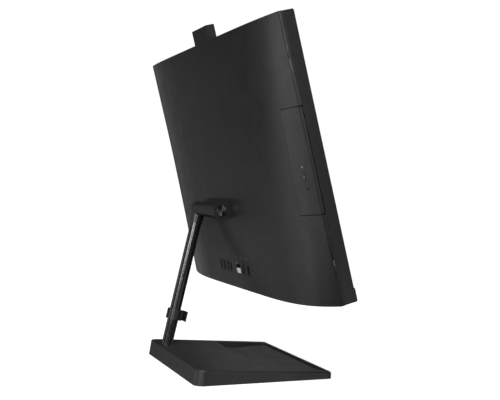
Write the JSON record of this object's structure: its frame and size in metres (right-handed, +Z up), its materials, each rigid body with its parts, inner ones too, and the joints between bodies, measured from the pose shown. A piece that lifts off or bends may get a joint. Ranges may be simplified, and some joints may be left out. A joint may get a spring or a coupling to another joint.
{
  "type": "all-in-one desktop computer",
  "caption": "All-in-one desktop computer: a wide screen head with a bulged back, optical drive, pop-up webcam and rear sockets, tilting on a leaning pole over a wedge base with a tray.",
  "frame": {"origin": "centre of the base's footprint, on the surface that it stands on", "axes": "+Z up, the screen faces -Y, +X to the right for a person who looks at the screen"},
  "size_m": [0.541, 0.1906, 0.4732],
  "materials": {
    "cover_plastic": "fine satin texture",
    "frame_plastic": "fine satin texture",
    "screen_glass": "glossy dark glass, screen off",
    "panel_metal": "bare sheet",
    "chin_plastic": "satin",
    "grille_plastic": "matte",
    "steel_sheet": "zinc plated sheet",
    "board_green": "solder mask",
    "chip_black": "moulded chip",
    "copper": "copper, lightly tarnished",
    "fin_metal": "bare fins",
    "fan_plastic": "moulded",
    "drive_metal": "satin cast and sheet",
    "socket_metal": "nickel plated",
    "flap_metal": "bright nickel plate",
    "socket_plastic": "moulded",
    "hinge_paint": "satin black paint",
    "hinge_steel": "turned steel",
    "cap_metal": "dark, brushed round",
    "pole_paint": "semi-gloss black paint",
    "base_plastic": "fine satin texture",
    "weight_steel": "black coated steel",
    "foot_rubber": "matte",
    "clip_plastic": "moulded",
    "lens_glass": "dark gloss window",
    "button_plastic": "satin",
    "tray_plastic": "matte",
    "led_clear": "clear light pipe",
    "ribbon_film": "flat cable"
  },
  "bodies": {
    "stand": {"base_shell": "base_plastic", "base_plate": "weight_steel", "base_fasteners": "hinge_steel", "base_feet": "foot_rubber", "pole": "pole_paint", "pole_flange": "steel_sheet", "hinge_barrel": "hinge_paint"},
    "head": {"rear_cover": "cover_plastic", "side_frame": "frame_plastic", "display_panel": "screen_glass", "backlight_unit": "panel_metal", "chin_panel": "chin_plastic", "speaker_grille": "grille_plastic", "speakers": "chip_black", "chassis_plate": "steel_sheet", "board_standoffs": "steel_sheet", "motherboard": "board_green", "board_parts": "chip_black", "memory_modules": "board_green", "solid_state_drive": "board_green", "wireless_card": "steel_sheet", "processor": "steel_sheet", "heat_spreader": "copper", "heat_pipe": "copper", "heat_fins": "fin_metal", "blower_housing": "fan_plastic", "hard_drive": "drive_metal", "hard_drive_caddy": "steel_sheet", "display_ribbon": "ribbon_film", "port_board": "board_green", "usb_sockets": "socket_metal", "network_socket": "socket_plastic", "hdmi_socket": "socket_metal", "power_inlet": "socket_plastic", "hinge_bridge": "steel_sheet", "hinge_bracket": "hinge_paint", "bracket_screws": "hinge_steel", "hinge_shaft": "hinge_steel", "hinge_cap": "cap_metal", "friction_washers": "hinge_steel", "hinge_nut": "hinge_steel", "power_switch": "chip_black", "webcam_guides": "chin_plastic", "drive_housing": "drive_metal"},
    "cable_clip": {"cable_clip": "clip_plastic"},
    "network_flap": {"network_flap": "flap_metal"},
    "webcam": {"webcam_housing": "frame_plastic", "webcam_window": "lens_glass", "webcam_lens": "lens_glass"},
    "drive_rails": {"drive_rails": "steel_sheet"},
    "disc_tray": {"disc_tray": "tray_plastic", "drive_bezel": "cover_plastic", "spindle_motor": "drive_metal", "sled_rods": "hinge_steel", "drive_led": "led_clear"},
    "disc_spindle": {"disc_spindle": "tray_plastic"},
    "laser_sled": {"laser_sled": "drive_metal"},
    "eject_button": {"eject_button": "button_plastic"},
    "power_button": {"power_button": "button_plastic"},
    "fan_rotor": {"fan_rotor": "fan_plastic"}
  },
  "joints": [
    {"name": "head_tilt", "type": "hinge", "parent": "stand", "child": "head", "pos_m": [0, 0.03225, 0.21898], "axis": [1, 0, 0], "range_deg": [-7, 20]},
    {"name": "clip_slide", "type": "slide", "parent": "stand", "child": "cable_clip", "axis": [0, -0.2215, 0.9751], "range_m": [-0.02, 0.07]},
    {"name": "webcam_slide", "type": "slide", "parent": "head", "child": "webcam", "axis": [0, 0.2588, 0.9659], "range_m": [-0.0215, 0]},
    {"name": "tray_slide", "type": "slide", "parent": "head", "child": "disc_tray", "axis": [-1, 0, 0], "range_m": [0, 0.132]},
    {"name": "rail_slide", "type": "slide", "parent": "head", "child": "drive_rails", "axis": [-1, 0, 0], "range_m": [0, 0.066]},
    {"name": "spindle_spin", "type": "hinge", "parent": "disc_tray", "child": "disc_spindle", "pos_m": [-0.165, 0.01201, 0.28487], "axis": [0, 0.9659, -0.2588], "continuous": true},
    {"name": "sled_slide", "type": "slide", "parent": "disc_tray", "child": "laser_sled", "axis": [1, 0, 0], "range_m": [0, 0.021]},
    {"name": "eject_press", "type": "slide", "parent": "disc_tray", "child": "eject_button", "axis": [0.3104, -0.9182, 0.246], "range_m": [0, 0.001], "stiffness_N_per_m": 600, "springref_m": -0.0008},
    {"name": "flap_swing", "type": "hinge", "parent": "head", "child": "network_flap", "pos_m": [-0.0175, 0.00104, 0.13303], "axis": [-1, 0, 0], "range_deg": [0, 40]},
    {"name": "power_press", "type": "slide", "parent": "head", "child": "power_button", "axis": [0, 0.2588, 0.9659], "range_m": [0, 0.0008], "stiffness_N_per_m": 600, "springref_m": -0.0008},
    {"name": "fan_spin", "type": "hinge", "parent": "head", "child": "fan_rotor", "pos_m": [0.1315, 0.02809, 0.35261], "axis": [0, 0.9659, -0.2588], "continuous": true}
  ],
  "couplings": [
    {"joint": "rail_slide", "follows": "tray_slide", "ratio": 0.5}
  ]
}
